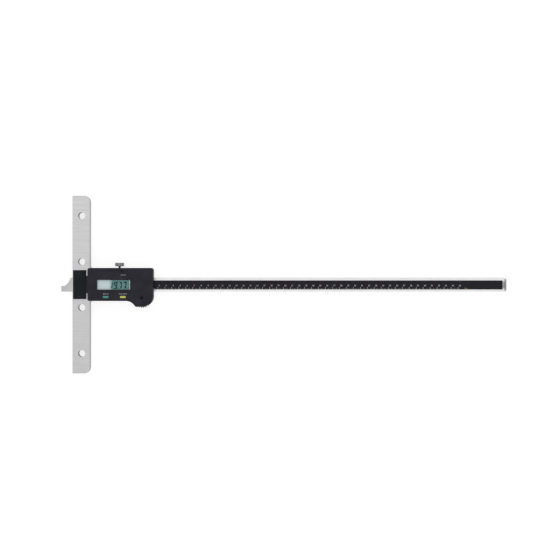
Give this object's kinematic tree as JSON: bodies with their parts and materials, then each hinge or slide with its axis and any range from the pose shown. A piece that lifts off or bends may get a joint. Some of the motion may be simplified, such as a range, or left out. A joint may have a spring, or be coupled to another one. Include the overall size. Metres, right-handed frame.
{
  "type": "digital depth gauge",
  "caption": "Digital depth gauge with a wide drilled base, a flat sliding beam with a stepped tip, a display unit, thumb wheel and clamp screw.",
  "frame": {"origin": "centre of the base's measuring face, at half the base's thickness", "axes": "+X from the measuring face along the beam, +Y along the base towards the clamp screw, +Z out of the display"},
  "size_m": [0.6369, 0.254, 0.0224],
  "materials": {
    "ground_steel": "satin ground stainless steel",
    "black_plate": "black oxide, satin",
    "small_steel": "turned and knurled steel",
    "dark_steel": "blackened screw steel",
    "scale_black": "black graduated film",
    "felt": "dense black felt",
    "brass": "drawn brass",
    "housing_black": "fine moulded grain",
    "wheel_black": "moulded acetal",
    "rubber": "soft rubber",
    "board_green": "solder mask on glass laminate",
    "chip_black": "moulded resin",
    "lcd": "liquid crystal panel on its reflector",
    "clear_window": "clear acrylic",
    "teal": "moulded teal",
    "yellow": "moulded yellow",
    "contact_metal": "nickel plated spring strip",
    "cell_steel": "nickel plated can"
  },
  "bodies": {
    "gauge": {"base_frame": "ground_steel", "retaining_plate": "black_plate", "plate_screws": "dark_steel", "dust_wiper": "felt", "gib_strip": "brass", "gib_screws": "dark_steel", "housing": "housing_black", "wheel_washer": "brass", "wheel_axle": "dark_steel", "reading_board": "board_green", "main_board": "board_green", "board_spacers": "brass", "board_screws": "small_steel", "controller_chip": "chip_black", "lcd_panel": "lcd", "contact_strips": "rubber", "display_window": "clear_window", "keypad": "rubber", "cell_contacts": "contact_metal", "port_connector": "chip_black", "housing_screws": "dark_steel"},
    "beam": {"beam_blade": "ground_steel", "scale_film": "scale_black", "end_stop": "small_steel", "end_stop_screws": "small_steel"},
    "wheel": {"thumb_wheel": "wheel_black", "drive_ring": "rubber"},
    "pad": {"clamp_pad": "brass"},
    "clamp": {"clamp_screw": "small_steel"},
    "zero_key": {"zero_button": "teal"},
    "power_key": {"power_button": "yellow"},
    "origin_key": {"origin_button": "wheel_black"},
    "tray": {"battery_tray": "housing_black", "battery_cell": "cell_steel"},
    "cap": {"port_cap": "housing_black"}
  },
  "joints": [
    {"name": "beam_slide", "type": "slide", "parent": "gauge", "child": "beam", "axis": [-1, 0, 0], "range_m": [-0.016, 0.484]},
    {"name": "wheel_spin", "type": "hinge", "parent": "gauge", "child": "wheel", "pos_m": [0.1006, -0.0188, 0], "axis": [0, 0, 1], "range_deg": [-105, 3155]},
    {"name": "clamp_feed", "type": "slide", "parent": "gauge", "child": "pad", "axis": [0, -1, 0], "range_m": [-0.0011, 0.0002]},
    {"name": "clamp_turn", "type": "hinge", "parent": "pad", "child": "clamp", "pos_m": [0.0673, 0.02, 0.00296], "axis": [0, -1, 0], "range_deg": [-720, 120]},
    {"name": "zero_press", "type": "slide", "parent": "gauge", "child": "zero_key", "axis": [0, 0, -1], "range_m": [0, 0.0004], "stiffness_N_per_m": 2500},
    {"name": "power_press", "type": "slide", "parent": "gauge", "child": "power_key", "axis": [0, 0, -1], "range_m": [0, 0.0004], "stiffness_N_per_m": 2500},
    {"name": "origin_press", "type": "slide", "parent": "gauge", "child": "origin_key", "axis": [0, 0, -1], "range_m": [0, 0.0004], "stiffness_N_per_m": 2500},
    {"name": "tray_draw", "type": "slide", "parent": "gauge", "child": "tray", "axis": [1, 0, 0], "range_m": [0, 0.015]},
    {"name": "cap_pull", "type": "slide", "parent": "gauge", "child": "cap", "axis": [0, 1, 0], "range_m": [0, 0.01]}
  ],
  "couplings": [
    {"joint": "wheel_spin", "follows": "beam_slide", "rad_per_m": 113.64},
    {"joint": "clamp_feed", "follows": "clamp_turn", "m_per_rad": 0.000079577}
  ]
}
